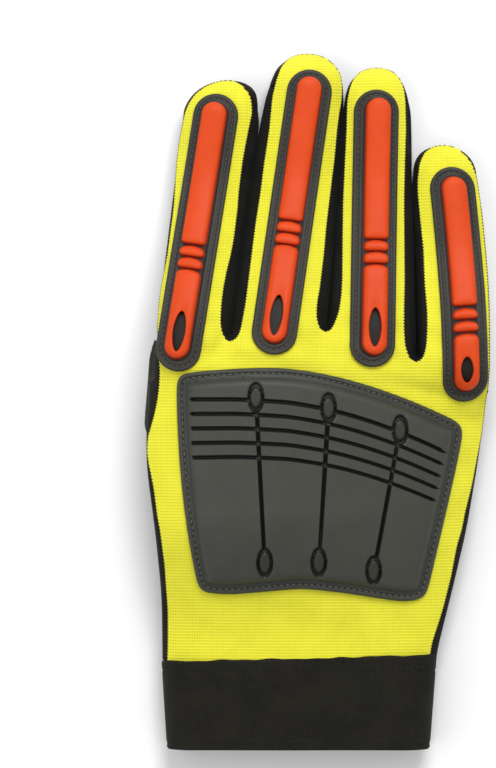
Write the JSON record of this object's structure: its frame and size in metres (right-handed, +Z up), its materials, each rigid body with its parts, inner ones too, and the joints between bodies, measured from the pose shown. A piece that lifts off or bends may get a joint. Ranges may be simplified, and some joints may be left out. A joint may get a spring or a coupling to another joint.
{
  "type": "impact glove",
  "caption": "Right-hand impact work glove lying palm down: knit back with moulded guards over knuckles, fingers and thumb, leather palm, elastic cuff.",
  "frame": {"origin": "middle of the glove's outline, on the floor that it lies on", "axes": "+Y from the cuff to the fingertips, +X towards the little finger, +Z up through the back of the hand"},
  "size_m": [0.1244, 0.2522, 0.0386],
  "materials": {
    "knit": "matte knit",
    "leather": "matte synthetic leather",
    "suede": "matte suede",
    "elastic": "matte elastic cloth",
    "grey_rubber": "satin moulded",
    "orange_rubber": "satin moulded"
  },
  "bodies": {
    "root": {"back_panel": "knit", "palm_panel": "leather", "thumb": "suede", "cuff": "elastic", "fourchette_1": "leather", "fourchette_2": "leather", "fourchette_3": "leather", "thumb_saddle": "leather", "palm_patch": "leather", "heel_patch": "leather", "knuckle_guard": "grey_rubber", "tip_patch_index": "leather", "guard_index_base": "grey_rubber", "guard_index_lower_bar": "orange_rubber", "guard_index_tip_bar": "orange_rubber", "guard_index_rib_a": "orange_rubber", "guard_index_rib_b": "orange_rubber", "tip_patch_middle": "leather", "guard_middle_base": "grey_rubber", "guard_middle_lower_bar": "orange_rubber", "guard_middle_tip_bar": "orange_rubber", "guard_middle_rib_a": "orange_rubber", "guard_middle_rib_b": "orange_rubber", "tip_patch_ring": "leather", "guard_ring_base": "grey_rubber", "guard_ring_lower_bar": "orange_rubber", "guard_ring_tip_bar": "orange_rubber", "guard_ring_rib_a": "orange_rubber", "guard_ring_rib_b": "orange_rubber", "tip_patch_little": "leather", "guard_little_base": "grey_rubber", "guard_little_lower_bar": "orange_rubber", "guard_little_tip_bar": "orange_rubber", "guard_little_rib_a": "orange_rubber", "guard_little_rib_b": "orange_rubber", "guard_thumb_base": "grey_rubber", "guard_thumb_lower_bar": "orange_rubber", "guard_thumb_middle_bar": "orange_rubber", "guard_thumb_tip_bar": "orange_rubber", "guard_thumb_rib_a": "orange_rubber", "guard_thumb_rib_b": "orange_rubber", "guard_thumb_rib_c": "orange_rubber", "guard_thumb_rib_d": "orange_rubber"}
  },
  "joints": []
}
